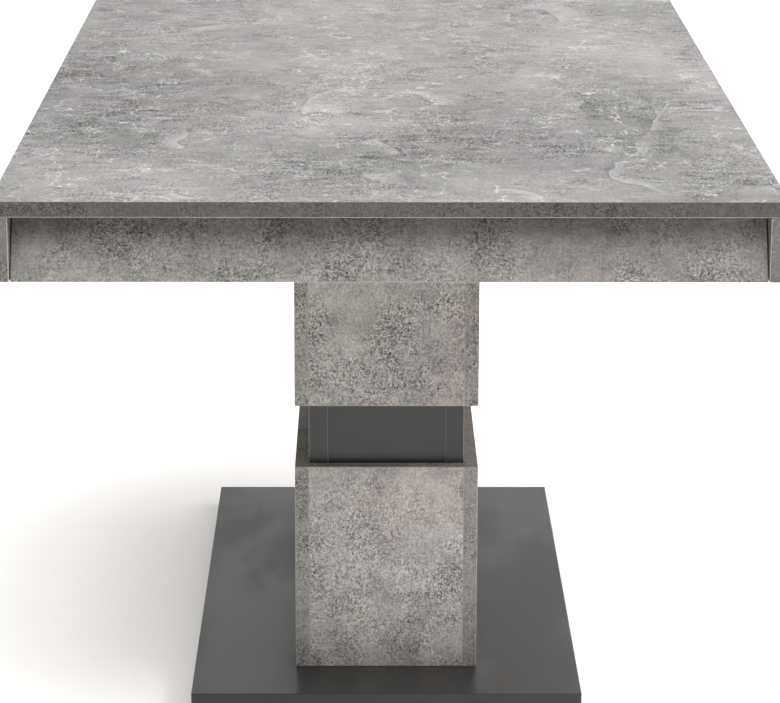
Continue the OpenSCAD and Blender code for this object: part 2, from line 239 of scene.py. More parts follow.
@dataclass(frozen=True)
class ConcreteDecor:
    """Melamine-faced board with a printed concrete decor, pressed with a matt stone plate.

    The print has wide clouds, smooth and sandy zones, a faint weave of short strokes, pale flecks,
    nets of broken hairlines and a few trowel lips. The press plate leaves a dry surface with a soft
    sheen at low angles. Sand and flecks are drawn about twice as coarse as the real print's, so
    that they show.
    """

    name: str
    ground: str = "#94918e"
    pale: str = "#bebbb8"
    cloud_mm: float = 330.0
    patch_mm: float = 70.0
    across: float = 0.45
    clouds: float = 0.13
    patches: float = 0.2
    scuffs: float = 0.1
    sand: float = 0.24
    weave: float = 0.1
    flecks: float = 0.5
    hairlines: float = 0.3
    lips: float = 0.0
    dash: float = 1.0
    roughness: float = 0.5

    def build(self) -> Material:
        """Makes the material.

        Returns:
            The finished material, which reads the board's own UV map in metres.
        """
        material, tree = new_material(self.name)
        flat = add(tree, "ShaderNodeUVMap", {"uv_map": UV_NAME})
        stirred = Layer(260, detail=3, roughness=0.55).stir(tree, flat, flat, 0.11)
        drawn = add(tree, MAPPING, Vector=stirred, Scale=(1.0, self.across, 1.0))
        zone = Layer(110, 0.42, 0.6, 6, 0.65).draw(tree, drawn)
        tone = self._tone(tree, flat, drawn, zone)
        colour = add(tree, VECTOR, SCALED, in_0=linear(self.ground)[:3], Scale=tone)
        for high, tint in ((0.62, "#fdf8f8"), (0.4, "#fafbf8")):  # faint mauve and green zones
            hue = Layer(260, 0.5, high, 3, 0.6, shift=(3.1, 1.7, 0)).draw(tree, stirred)
            colour = add(tree, MIX, TINT, in_0=hue, in_6=colour, in_7=linear(tint))
        if self.lips:
            colour = self._lips(tree, stirred, colour)
        colour = self._flecks(tree, flat, zone, colour)
        colour = self._hairlines(tree, flat, stirred, colour)
        sheen = add(tree, RANGE, SMOOTH, Value=zone, To_Min=self.roughness - 0.05,
                    To_Max=self.roughness + 0.08)
        relief = Layer(1.8, detail=3, roughness=0.6).marks(tree, flat)
        bump = add(tree, "ShaderNodeBump", Strength=0.35, Distance=0.12 * MM, Height=relief)
        surface(tree, Base_Color=colour, Roughness=sheen, Normal=bump, IOR=1.5)
        return material

    def _tone(self, tree: Tree, flat: Link, drawn: Link, zone: Link) -> Link:
        """Adds up the light and dark of the clouds, patches, sand and weave.

        Args:
            tree: The material's tree.
            flat: The plain coordinates.
            drawn: The stirred coordinates, drawn out one way.
            zone: How sandy the print is, from 0 to 1.

        Returns:
            The factor on the ground colour.
        """
        both = (-1.0, 1.0)
        cloud = Layer(self.cloud_mm, 0.3, 0.7, 3, 0.5, result=both).draw(tree, drawn)
        patch = Layer(self.patch_mm, 0.28, 0.72, 7, 0.7, shift=(4, 3, 0), result=both).draw(tree, drawn)
        coarse = Layer(3.6, 0.3, 0.7, 2, 0.7, squeeze=(self.dash, 1, 1), result=both).draw(tree, flat)
        scuff = Layer(16, 0.3, 0.7, 5, 0.7, 0, (1, 0.4, 1), (6, 1, 0), both).draw(tree, flat)
        warp = Layer(3.2, 0.34, 0.66, 2, 0.6, squeeze=(0.16, 1, 1), result=both).draw(tree, flat)
        weft = Layer(3.2, 0.34, 0.66, 2, 0.6, squeeze=(1, 0.16, 1), result=both).draw(tree, flat)
        dashed = add(tree, MAPPING, Vector=flat, Scale=(self.dash, 1, 1))
        grains = add(tree, "ShaderNodeTexVoronoi", Vector=dashed, Scale=1 / (1.8 * MM))
        grain = add(tree, "ShaderNodeSeparateXYZ", Vector=grains.outputs["Color"])
        fine = add(tree, MATH, PRODUCT_AND_SUM, in_0=grain, in_1=2.4, in_2=-1.2)
        grit = add(tree, MATH, PRODUCT_AND_SUM, in_0=coarse, in_1=0.25, in_2=fine)
        sandy = add(tree, MATH, PRODUCT_AND_SUM, in_0=zone, in_1=0.62, in_2=0.38)
        sand = add(tree, MATH, PRODUCT, in_0=grit, in_1=sandy)
        scuffed = add(tree, MATH, PRODUCT, in_0=scuff, in_1=sandy)
        tone = 1.03
        for layer, strength in ((cloud, self.clouds), (patch, self.patches), (zone, -0.07),
                                (sand, self.sand), (scuffed, self.scuffs), (warp, self.weave),
                                (weft, self.weave)):
            tone = add(tree, MATH, PRODUCT_AND_SUM, in_0=layer, in_1=strength, in_2=tone)
        return tone

    def _lips(self, tree: Tree, stirred: Link, colour: Link) -> Link:
        """Draws the trowel lips: a pale smear that ends in a thin shaded edge.

        Args:
            tree: The material's tree.
            stirred: The stirred coordinates.
            colour: The colour so far.

        Returns:
            The colour so far.
        """
        contour = Layer(190, detail=1.6, roughness=0.4, distortion=0.5, squeeze=(0.5, 1.0, 1.0),
                        shift=(1.3, 4.6, 0.0)).marks(tree, stirred)
        where = Layer(150, 0.56, 0.64, 2, 0.5, shift=(5, 8, 0)).draw(tree, stirred)
        crest = (((0.62, 0.5), (0.496, 0.503)), COVER, 0.3 * self.lips, self.pale)
        shade = (((0.47, 0.497), (0.504, 0.497)), TINT, 0.6 * self.lips, "#b4b1ad")
        for limits, blend, strength, paint in (crest, shade):
            sides = [add(tree, RANGE, SMOOTH, Value=contour, From_Min=low, From_Max=high)
                     for low, high in limits]
            line = add(tree, MATH, PRODUCT, in_0=sides[0], in_1=sides[1])
            broken = add(tree, MATH, PRODUCT, in_0=line, in_1=where)
            share = add(tree, MATH, PRODUCT, in_0=broken, in_1=strength)
            colour = add(tree, MIX, blend, in_0=share, in_6=colour, in_7=linear(paint))
        return colour

    def _flecks(self, tree: Tree, flat: Link, zone: Link, colour: Link) -> Link:
        """Scatters pale crumbs in loose clusters, mostly over the sandy zones.

        Args:
            tree: The material's tree.
            flat: The plain coordinates.
            zone: How sandy the print is, from 0 to 1.
            colour: The colour so far.

        Returns:
            The colour so far.
        """
        dots = Layer(3.6, 0.58, 0.68, 2, 0.7, shift=(7, 5, 0)).draw(tree, flat)
        near = Layer(40, 0.48, 0.64, 4, 0.65, shift=(9, 2, 0)).draw(tree, flat)
        sandy = add(tree, MATH, {"operation": "ADD"}, in_0=zone, in_1=0.35)
        gather = add(tree, MATH, PRODUCT, in_0=near, in_1=sandy)
        crumbs = add(tree, MATH, PRODUCT, in_0=dots, in_1=gather)
        share = add(tree, MATH, PRODUCT | {"use_clamp": True}, in_0=crumbs, in_1=self.flecks)
        return add(tree, MIX, COVER, in_0=share, in_6=colour, in_7=linear(self.pale))

    def _hairlines(self, tree: Tree, flat: Link, stirred: Link, colour: Link) -> Link:
        """Draws two nets of broken pale hairlines, a wide one and a close one.

        Args:
            tree: The material's tree.
            flat: The plain coordinates.
            stirred: The stirred coordinates.
            colour: The colour so far.

        Returns:
            The finished colour.
        """
        crazed = Layer(22, detail=3, roughness=0.55).stir(tree, flat, stirred, 0.035)
        for mesh_mm, width, shift in ((62, 0.022, (2, 6, 0)), (34, 0.03, (8, 3, 0))):
            place = add(tree, MAPPING, Vector=crazed, Location=shift)
            cells = add(tree, "ShaderNodeTexVoronoi", {"feature": "DISTANCE_TO_EDGE"}, Vector=place,
                        Scale=1 / (mesh_mm * MM))
            line = add(tree, RANGE, SMOOTH, Value=cells.outputs["Distance"], From_Min=width,
                       From_Max=0.0)
            gaps = Layer(75, 0.5, 0.62, 5, 0.7, squeeze=(0.8, 1, 1), shift=shift).draw(tree, flat)
            broken = add(tree, MATH, PRODUCT, in_0=line, in_1=gaps)
            share = add(tree, MATH, PRODUCT, in_0=broken, in_1=self.hairlines)
            colour = add(tree, MIX, COVER, in_0=share, in_6=colour, in_7=linear(self.pale))
        return colour


@dataclass(frozen=True)
class PlainFinish:
    """A finish of two close tones that drift into each other, with its own sheen and fine relief."""

    name: str
    tones: tuple[str, str]
    drift: Layer
    sheen: tuple[float, float]
    relief: Layer
    relief_mm: float
    strength: float
    speck: Layer | None = None
    metallic: float = 0.0
    ior: float = 1.5

    def build(self) -> Material:
        """Makes the material.

        Returns:
            The finished material.
        """
        material, tree = new_material(self.name)
        place = add(tree, "ShaderNodeTexCoord").outputs["Object"]
        drift = self.drift.draw(tree, place)
        colour = add(tree, MIX, COVER, in_0=drift, in_6=linear(self.tones[0]),
                     in_7=linear(self.tones[1]))
        if self.speck:
            speck = self.speck.draw(tree, place)
            colour = add(tree, VECTOR, SCALED, in_0=colour, Scale=speck)
        sheen = add(tree, RANGE, SMOOTH, Value=drift, To_Min=self.sheen[0],
                    To_Max=self.sheen[1])
        bump = add(tree, "ShaderNodeBump", Strength=self.strength, Distance=self.relief_mm * MM,
                   Height=self.relief.marks(tree, place))
        surface(tree, Base_Color=colour, Roughness=sheen, Normal=bump, Metallic=self.metallic,
                IOR=self.ior)
        return material


@dataclass(frozen=True)
class Beech:
    """Planed beech under clear lacquer: straight pale grain with the short dark flecks of its rays."""

    name: str
    grain: Grain
    pale: str = "#d8b48c"
    dark: str = "#b98d62"
    ray: str = "#9c6f48"

    def build(self) -> Material:
        """Makes the material.

        Returns:
            The finished material.
        """
        material, tree = new_material(self.name)
        place = add(tree, "ShaderNodeTexCoord").outputs["Object"]
        long, short = (tuple(drawn if share else 1.0 for share in self.grain.value)
                       for drawn in (0.05, 0.16))
        rings = Layer(9, 0.32, 0.68, 5, 0.6, 0.4, long).draw(tree, place)
        rays = Layer(1.6, 0.62, 0.7, 1, squeeze=short, result=(0.0, 0.6)).draw(tree, place)
        wood = add(tree, MIX, COVER, in_0=rings, in_6=linear(self.pale),
                   in_7=linear(self.dark))
        wood = add(tree, MIX, COVER, in_0=rays, in_6=wood, in_7=linear(self.ray))
        sheen = add(tree, RANGE, SMOOTH, Value=rings, To_Min=0.42, To_Max=0.5)
        bump = add(tree, "ShaderNodeBump", Strength=0.3, Distance=0.1 * MM, Height=rings)
        surface(tree, Base_Color=wood, Roughness=sheen, Normal=bump, IOR=1.5)
        return material


# The top's strong clouds, with its seed in TopFrame, make it darker at the near end: print that also stands
# in as painted shade there
TOP_PRINT = ConcreteDecor(
    "concrete_decor_top", "#6e6c6b", "#b2b1af", cloud_mm=460.0, across=1.3, clouds=0.3, patches=0.17,
    scuffs=0.34, sand=0.42, weave=0.05, flecks=1.0, hairlines=0.8, lips=0.7, dash=0.45, roughness=0.6)
PANEL_PRINT = ConcreteDecor(
    "concrete_decor_panel", "#94918e", "#cbc9c6", cloud_mm=190.0, patch_mm=60.0, across=0.9, clouds=0.12,
    patches=0.3, sand=0.6, weave=0.07, flecks=1.4)
FRAME_PRINT = replace(
    PANEL_PRINT, name="concrete_decor_frame", ground="#73706d", pale="#a6a4a1", cloud_mm=230.0, clouds=0.14,
    patches=0.32, flecks=1.1)
PANEL_BAND = ConcreteDecor(
    "concrete_edge_band", "#827f7c", "#a8a6a3", cloud_mm=120.0, patch_mm=30.0, across=1.0, clouds=0.08,
    patches=0.15, sand=0.6, weave=0.06, flecks=0.4, hairlines=0.0)
FRAME_BAND = replace(PANEL_BAND, name="concrete_edge_band_frame", ground="#63605d", pale="#8a8784")
TOP_BAND = replace(PANEL_BAND, name="concrete_edge_band_dark", ground="#464341", pale="#65625f")
# A concrete board's eased arris, painted pale: a painted highlight for the light that the edge catches
PAINTED_EDGE_HIGHLIGHT = ConcreteDecor(
    "painted_edge_highlight", "#9c9a97", across=1.0, clouds=0.05, patches=0.08, sand=0.15, weave=0.0, flecks=0.0,
    hairlines=0.0)
# Plain anthracite melamine pressed with a fine pearl plate: nearly flat in colour, with a soft broad
# sheen that turns pale at low angles, and faint wipe marks that show in that sheen
ANTHRACITE = PlainFinish(
    "anthracite_melamine", ("#272727", "#2c2c2c"), Layer(140, 0.35, 0.7, 4, 0.6, squeeze=(1.0, 0.4, 1.0)),
    (0.34, 0.44), Layer(1.1), 0.08, 0.3, speck=Layer(1.4, 0.3, 0.7, 2, 0.7, result=(0.94, 1.06)))
# The same board's eased arris, painted paler: a painted highlight for the light that the edge catches
ANTHRACITE_EDGE_HIGHLIGHT = replace(ANTHRACITE, name="anthracite_painted_edge_highlight", tones=("#6a6a6a", "#747474"))
# Mild steel with a bright zinc plating: cool grey, with a cloudy gloss and faint drawing lines
ZINC_STEEL = PlainFinish(
    "zinc_plated_steel", ("#c3c7ca", "#a6abaf"), Layer(7, 0.35, 0.65, 3, 0.6), (0.26, 0.4),
    Layer(0.8, detail=1, squeeze=(1.0, 0.08, 1.0)), 0.05, 0.2, metallic=1.0)
# Black polyamide, injection moulded against a spark-eroded tool: matt, with a fine even texture
MOULDED_PLASTIC = PlainFinish(
    "moulded_black_polyamide", ("#232323", "#303030"), Layer(18, 0.4, 0.7, 3, 0.6), (0.6, 0.48),
    Layer(0.7), 0.06, 0.4, ior=1.53)


class Finishes:
    """Every finish of the table, built once. A list holds a board's materials in the order of Skin."""

    def __init__(self) -> None:
        """Builds the finishes."""
        # The arris materials are painted highlights: paler colours that stand in for light caught along the
        # eased edges
        arris, dark = PAINTED_EDGE_HIGHLIGHT.build(), ANTHRACITE.build()
        self.top: list[Material] = [TOP_PRINT.build(), TOP_BAND.build(), arris]
        self.frame: list[Material] = [FRAME_PRINT.build(), FRAME_BAND.build(), arris]
        self.cladding: list[Material] = [PANEL_PRINT.build(), PANEL_BAND.build(), arris]
        self.dark: list[Material] = [dark, dark, ANTHRACITE_EDGE_HIGHLIGHT.build()]
        self.beech_long: Material = Beech("lacquered_beech_long", Grain.LENGTH).build()
        self.beech_cross: Material = Beech("lacquered_beech_cross", Grain.WIDTH).build()
        self.beech_upright: Material = Beech("lacquered_beech_upright", Grain.UPRIGHT).build()
        self.steel: Material = ZINC_STEEL.build()
        self.plastic: Material = MOULDED_PLASTIC.build()


# ---- meshes


# The least sine or cosine that counts as turned towards an axis
MIN_TURN = 0.3
# How far the decor goes on before a board starts on it, in metres
SHEET = 40
# How closely a fastener's points lie on its end
END_GAP = 0.01 * MM
# A thread's blade, as a share of the thread's radius
BLADE = 0.12


def points_of(node: str) -> list[Vector]:
    """Lists a CAD node's separate corner points.

    Args:
        node: The node's name.

    Returns:
        Its corner points if there are eight, and otherwise the eight corners of its box.
    """
    found = {tuple(round(value, 6) for value in vertex.co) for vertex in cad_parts[node].data.vertices}
    if len(found) == 8:
        return [Vector(point) for point in sorted(found)]
    low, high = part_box(node)
    return [Vector((x, y, z)) for x in (low.x, high.x) for y in (low.y, high.y) for z in (low.z, high.z)]


def dressed(mesh: Mesh, name: str, body: str, replaced: list[str]) -> Piece:
    """Makes a mesh a piece of the table that rides on its body and stands for CAD nodes.

    Args:
        mesh: The finished mesh, in place.
        name: The piece's name.
        body: The CAD body that it moves with.
        replaced: The CAD nodes that it stands for.

    Returns:
        The piece.
    """
    piece = bpy.data.objects.new(name, mesh)
    bpy.context.scene.collection.objects.link(piece)
    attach(piece, body)
    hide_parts(*replaced)
    LOG.info("%s: %d faces, rides on %s", name, len(mesh.polygons), body)
    return piece


@dataclass
class Board:
    """One board with banded edges and eased arrises, shaped on its CAD node."""

    node: str
    body: str
    skins: list[Material]
    slot: str
    grain: Grain = Grain.LENGTH
    ease_mm: float = 0.8
    seed: int = 1

    def build(self) -> Piece:
        """Builds the board and makes it stand for its node.

        Returns:
            The board.
        """
        shape = bmesh.new()
        for point in points_of(self.node):
            shape.verts.new(point)
        bmesh.ops.convex_hull(shape, input=shape.verts)
        bmesh.ops.dissolve_limit(shape, angle_limit=math.radians(1), verts=shape.verts, edges=shape.edges)
        bmesh.ops.recalc_face_normals(shape, faces=shape.faces)
        broad = sorted(shape.faces, key=lambda face: face.calc_area())[-2:]
        for face in shape.faces:
            face.material_index = (Skin.FACE if face in broad else Skin.BAND).value
        bmesh.ops.bevel(shape, geom=shape.edges[:], offset=self.ease_mm * MM, segments=2, profile=0.5,
                        affect="EDGES", material=Skin.ARRIS.value)
        # Arrises that face up take the band's colour; the others keep the pale arris colour, a painted
        # highlight along the lower and side edges
        for face in shape.faces:
            if face.material_index == Skin.ARRIS.value and face.normal.z > MIN_TURN:
                face.material_index = Skin.BAND.value
        self._lay_decor(shape)
        mesh = bpy.data.meshes.new(f"{self.node}_board")
        shape.to_mesh(mesh)
        shape.free()
        for material in self.skins:
            mesh.materials.append(material)
        return dressed(mesh, f"{self.node}_board", self.body, [self.node])

    def _lay_decor(self, shape: bmesh.types.BMesh) -> None:
        """Gives every face its place on the decor sheet, in metres, with U along the grain.

        Args:
            shape: The board with its arrises eased.
        """
        layer = shape.loops.layers.uv.new(UV_NAME)
        draw = random.Random(self.seed)
        starts = [Vector((draw.uniform(0, SHEET), draw.uniform(0, SHEET))) for _ in Skin]
        along = Vector(self.grain.value)
        for face in shape.faces:
            side = along - face.normal * along.dot(face.normal)
            if side.length < MIN_TURN:
                side = Vector((face.normal.y, face.normal.z, face.normal.x)).cross(face.normal)
            side.normalize()
            across = face.normal.cross(side)
            for loop in face.loops:
                spot = Vector((loop.vert.co.dot(side), loop.vert.co.dot(across)))
                loop[layer].uv = starts[face.material_index] + spot


def solids_of(node: str) -> list[list[Vector]]:
    """Splits a CAD node's mesh into its separate solids.

    Args:
        node: The node's name.

    Returns:
        The points of each solid.
    """
    shape = bmesh.new()
    shape.from_mesh(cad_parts[node].data)
    bmesh.ops.remove_doubles(shape, verts=shape.verts, dist=1e-6)
    left, found = set(shape.verts), []
    while left:
        reach = [left.pop()]
        solid = []
        while reach:
            vertex = reach.pop()
            solid.append(vertex.co.copy())
            for edge in vertex.link_edges:
                other = edge.other_vert(vertex)
                if other in left:
                    left.remove(other)
                    reach.append(other)
        found.append(solid)
    shape.free()
    return sorted(found, key=lambda solid: tuple(
        round(value, 4) for value in sum(solid, Vector()) / len(solid)))


@dataclass(frozen=True)
class Spot:
    """Where one repeated part stands: its foot, the direction it points in, its length and its width."""

    foot: Vector
    aim: Vector
    length: float
    width: float


def spots_of(node: str) -> list[Spot]:
    """Finds the foot of each round solid in a node, which is its wider end, and where it points.

    Args:
        node: The node's name.

    Returns:
        One spot for each solid.
    """
    spots = []
    for solid in solids_of(node):
        low = Vector(min(point[k] for point in solid) for k in range(3))
        high = Vector(max(point[k] for point in solid) for k in range(3))
        size, middle = high - low, (low + high) / 2
        pairs = [(abs(size[(k + 1) % 3] - size[(k + 2) % 3]), k) for k in range(3)]
        axis = min(pairs)[1]
        sides = ((axis + 1) % 3, (axis + 2) % 3)
        reach = {}
        for end in (low[axis], high[axis]):
            near = [point for point in solid if abs(point[axis] - end) < END_GAP]
            reach[end] = max(math.hypot(*(point[k] - middle[k] for k in sides)) for point in near)
        wide_high = reach[high[axis]] > reach[low[axis]] + END_GAP
        foot, aim = middle.copy(), Vector((0, 0, 0))
        foot[axis] = high[axis] if wide_high else low[axis]
        aim[axis] = -1.0 if wide_high else 1.0
        spots.append(Spot(foot, aim, size[axis], 2 * max(reach.values())))
    return spots


# ---- geometry nodes


def threading(radius: float, run: float, pitch: float) -> dict[str, float]:
    """Works out the named sizes of a screw thread.

    Args:
        radius: The thread's outer radius.
        run: How long the threaded stretch is.
        pitch: The rise of one turn.

    Returns:
        The sizes that Recipe.thread() reads.
    """
    blade = BLADE * radius
    return {"thread length": run, "thread turns": run / pitch, "blade radius": blade,
            "spiral radius": radius - blade}


class Recipe:
    """A Geometry Nodes tree for one part on its own upright axis, with the sizes that it names."""

    def __init__(self, name: str, sizes: dict[str, float], material: Material) -> None:
        """Starts a tree.

        Args:
            name: The tree's name.
            sizes: The tree's named sizes, in metres.
            material: The finish that the tree sets last.
        """
        self.tree = bpy.data.node_groups.new(name, "GeometryNodeTree")
        self.sizes = sizes
        self.material = material
        face = self.tree.interface
        face.new_socket("Geometry", in_out="INPUT", socket_type="NodeSocketGeometry")
        for size in sizes:
            face.new_socket(size, in_out="INPUT", socket_type="NodeSocketFloat")
        face.new_socket("Geometry", in_out="OUTPUT", socket_type="NodeSocketGeometry")
        self.given = add(self.tree, "NodeGroupInput")

    def size(self, name: str) -> bpy.types.NodeSocket:
        """Gives the socket of a named size."""
        return self.given.outputs[name]

    def stretch(self, sides: int, low: str, high: str, long: str, start: str) -> Node:
        """Adds one closed stretch of a turned part, straight or tapered.

        Args:
            sides: How many sides it has.
            low: The size that is its radius at the start.
            high: The size that is its radius at the end.
            long: The size that is its length.
            start: The size that is its start's height.

        Returns:
            The stretch.
        """
        cone = add(self.tree, "GeometryNodeMeshCone", {"fill_type": "NGON"}, Vertices=sides,
                   Radius_Top=self.size(high), Radius_Bottom=self.size(low), Depth=self.size(long))
        foot = add(self.tree, "ShaderNodeCombineXYZ", Z=self.size(start))
        return add(self.tree, "GeometryNodeTransform", Geometry=cone, Translation=foot)

    def thread(self, sides: int, start: str) -> Node:
        """Winds a screw thread: one small blade swept along a spiral.

        Args:
            sides: How many steps one turn has.
            start: The size that is its start's height.

        Returns:
            The thread.
        """
        spiral = add(self.tree, "GeometryNodeCurveSpiral", Resolution=sides,
                     Rotations=self.size("thread turns"), Start_Radius=self.size("spiral radius"),
                     End_Radius=self.size("spiral radius"), Height=self.size("thread length"))
        blade = add(self.tree, "GeometryNodeCurvePrimitiveCircle", {"mode": "RADIUS"}, Resolution=4,
                    Radius=self.size("blade radius"))
        swept = add(self.tree, "GeometryNodeCurveToMesh", Curve=spiral, Profile_Curve=blade, Fill_Caps=True)
        foot = add(self.tree, "ShaderNodeCombineXYZ", Z=self.size(start))
        return add(self.tree, "GeometryNodeTransform", Geometry=swept, Translation=foot)

    def place(self, part: Link, spots: list[Spot], name: str) -> Mesh:
        """Puts the part on every spot and turns the result into a plain mesh.

        Args:
            part: The part, which stands on its own origin and points along +Z.
            spots: Where it goes.
            name: The mesh's name.

        Returns:
            The mesh, realised and with its material.
        """
        tree = self.tree
        aim = add(tree, "GeometryNodeInputNamedAttribute", {"data_type": "FLOAT_VECTOR"}, Name="aim")
        aimed = add(tree, "FunctionNodeAlignRotationToVector", {"axis": "Z"}, Vector=aim.outputs[0])
        spin = add(tree, "FunctionNodeRandomValue", {"data_type": "FLOAT"}, in_2=0.0, in_3=2 * math.pi,
                   Seed=7)
        spun = add(tree, "FunctionNodeAxisAngleToRotation", Axis=(0.0, 0.0, 1.0), Angle=spin.outputs[1])
        both = add(tree, "FunctionNodeRotateRotation", {"rotation_space": "LOCAL"}, Rotation=aimed,
                   Rotate_By=spun)
        points = add(tree, "GeometryNodeMeshToPoints", Mesh=self.size("Geometry"))
        copies = add(tree, "GeometryNodeInstanceOnPoints", Points=points, Instance=part, Rotation=both)
        real = add(tree, "GeometryNodeRealizeInstances", Geometry=copies)
        finished = add(tree, "GeometryNodeSetMaterial", Geometry=real, Material=self.material)
        add(tree, "NodeGroupOutput", Geometry=finished)
        return self._plain(spots, name)

    def _plain(self, spots: list[Spot], name: str) -> Mesh:
        """Runs the tree on one point for each spot.

        Args:
            spots: Where the part goes.
            name: The mesh's name.

        Returns:
            The mesh that the tree makes.
        """
        seedling = bpy.data.meshes.new(f"{name}_spots")
        seedling.from_pydata([spot.foot for spot in spots], [], [])
        aims = seedling.attributes.new("aim", "FLOAT_VECTOR", "POINT")
        for datum, spot in zip(aims.data, spots):
            datum.vector = spot.aim
        holder = bpy.data.objects.new(f"{name}_spots", seedling)
        bpy.context.scene.collection.objects.link(holder)
        modifier = holder.modifiers.new("recipe", "NODES")
        modifier.node_group = self.tree
        sockets = {item.name: item.identifier for item in self.tree.interface.items_tree
                   if item.in_out == "INPUT"}
        for size, value in self.sizes.items():
            modifier[sockets[size]] = value
        graph = bpy.context.evaluated_depsgraph_get()
        mesh = bpy.data.meshes.new_from_object(holder.evaluated_get(graph))
        mesh.name = name
        bpy.data.objects.remove(holder)
        bpy.data.node_groups.remove(self.tree)
        return mesh


@dataclass(frozen=True)
class WoodScrew:
    """A countersunk chipboard screw: a flat head with a recess, a threaded shank and a point."""

    wings: int = 2
    wing_long: float = 1.15  # the recess's sizes are shares of the head's radius
    wing_thick: float = 0.24
    wing_deep: float = 0.8
    core: float = 0.76  # share of the shank's radius
    pitch: float = 2.0 * MM
    sides: int = 14
    head_sides: int = 20

    def build(self, spots: list[Spot], material: Material, name: str) -> Mesh:
        """Makes one screw on each spot.

        Args:
            spots: Where each screw's head stands and where it points.
            material: The screws' finish.
            name: The mesh's name.

        Returns:
            The screws, as one mesh.
        """
        head = spots[0].width / 2
        shank = head / 2
        sunk, tip = head - shank, 2 * shank
        tip_start = spots[0].length - tip
        recipe = Recipe(name, {
            "top": 0.0, "point radius": 0.0, "head radius": head, "core radius": self.core * shank,
            "head depth": sunk, "tip start": tip_start, "tip length": tip,
            "recess width": self.wing_long * head, "recess slot": self.wing_thick * head,
            "recess depth": self.wing_deep * head,
            **threading(shank, tip_start - sunk, self.pitch)}, material)
        cone = recipe.stretch(self.head_sides, "head radius", "core radius", "head depth", "top")
        size = add(recipe.tree, "ShaderNodeCombineXYZ", X=recipe.size("recess width"),
                   Y=recipe.size("recess slot"), Z=recipe.size("recess depth"))
        wing = add(recipe.tree, "GeometryNodeMeshCube", Size=size)
        step = math.pi / self.wings
        crossed = [add(recipe.tree, "GeometryNodeTransform", Geometry=wing, Rotation=(0.0, 0.0, turn * step))
                   for turn in range(self.wings)]
        head_cut = add(recipe.tree, BOOLEAN, CUT, in_0=cone, in_1=crossed)
        screw = add(recipe.tree, "GeometryNodeJoinGeometry", Geometry=[
            head_cut,
            recipe.stretch(self.sides, "core radius", "core radius", "thread length", "head depth"),
            recipe.stretch(self.sides, "core radius", "point radius", "tip length", "tip start"),
            recipe.thread(self.sides, "head depth"),
        ])
        return recipe.place(screw, spots, name)


@dataclass(frozen=True)
class Turned:
    """A round or six-sided part with chamfered ends and, where it has one, a bore or threaded ends."""

    sides: int = 32
    chamfer: float = 0.6 * MM
    bore: float = 0.0
    threaded: float = 0.0
    core: float = 0.88  # share of a threaded part's radius
    pitch: float = 1.5 * MM
    chamfer_sides: int = 48
    bore_sides: int = 32

    def build(self, spots: list[Spot], material: Material, name: str) -> Mesh:
        """Makes one part on each spot.

        Args:
            spots: Where each part's foot stands and where it points.
            material: The parts' finish.
            name: The mesh's name.

        Returns:
            The parts, as one mesh.
        """
        length, radius = spots[0].length, spots[0].width / 2
        sizes = {"foot": 0.0, "length": length, "radius": radius}
        if self.threaded:
            return self._rod(sizes, spots, material, name)
        eased = radius * math.cos(math.pi / self.sides) - self.chamfer
        flare = 1.7 if self.sides == 6 else 1.0  # a nut's chamfer cuts its corners only
        sizes |= {"eased radius": eased, "wide radius": eased + flare * length, "bore radius": self.bore,
                  "bore start": -MM, "bore length": length + 2 * MM}
        recipe = Recipe(name, sizes, material)
        part = add(recipe.tree, BOOLEAN, SHARED, in_1=[
            recipe.stretch(self.sides, "radius", "radius", "length", "foot"),
            recipe.stretch(self.chamfer_sides, "eased radius", "wide radius", "length", "foot"),
            recipe.stretch(self.chamfer_sides, "wide radius", "eased radius", "length", "foot"),
        ])
        if self.bore:
            bore = recipe.stretch(self.bore_sides, "bore radius", "bore radius", "bore length",
                                  "bore start")
            part = add(recipe.tree, BOOLEAN, CUT, in_0=part, in_1=bore)
        return recipe.place(part, spots, name)

    def _rod(self, sizes: dict[str, float], spots: list[Spot], material: Material,
             name: str) -> Mesh:
        """Makes one rod with threaded ends on each spot.

        Args:
            sizes: The rod's foot, length and radius.
            spots: Where each rod's foot stands and where it points.
            material: The rods' finish.
            name: The mesh's name.

        Returns:
            The rods, as one mesh.
        """
        length, radius = sizes["length"], sizes["radius"]
        recipe = Recipe(name, sizes | {
            "core radius": self.core * radius, "plain length": length - 2 * self.threaded,
            "low thread": self.chamfer, "high thread": length - self.threaded - self.chamfer,
            **threading(radius, self.threaded, self.pitch)}, material)
        rod = add(recipe.tree, "GeometryNodeJoinGeometry", Geometry=[
            recipe.stretch(self.sides, "core radius", "core radius", "length", "foot"),
            recipe.stretch(self.sides, "radius", "radius", "plain length", "thread length"),
            recipe.thread(self.sides, "low thread"),
            recipe.thread(self.sides, "high thread"),
        ])
        return recipe.place(rod, spots, name)


# ---- sub-assemblies


def ease_node(node: str, material: Material, ease_mm: float = 0.5, sharp: float = 40) -> None:
    """Gives a machined or pressed CAD node its finish and breaks its sharp edges.

    Args:
        node: The node's name.
        material: Its finish.
        ease_mm: How wide the broken edge is.
        sharp: The turn, in degrees, from which an edge counts as sharp.
    """
    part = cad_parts[node]
    part.data.materials.clear()
    part.data.materials.append(material)
    weld = part.modifiers.new("weld", "WELD")
    weld.merge_threshold = 0.001 * MM
    bevel = part.modifiers.new("ease", "BEVEL")
    bevel.width, bevel.segments, bevel.limit_method = ease_mm * MM, 2, "ANGLE"
    bevel.angle_limit = math.radians(sharp)
    bevel.use_clamp_overlap = True
    LOG.info("%s: finished in %s", node, material.name)


def repeat(shape: WoodScrew | Turned, node: str, body: str, material: Material) -> None:
    """Makes a repeated part stand for every solid of a CAD node.

    Args:
        shape: The part.
        node: The node's name.
        body: The body that it moves with.
        material: Its finish.
    """
    name = f"{node}_set"
    dressed(shape.build(spots_of(node), material, name), name, body, [node])


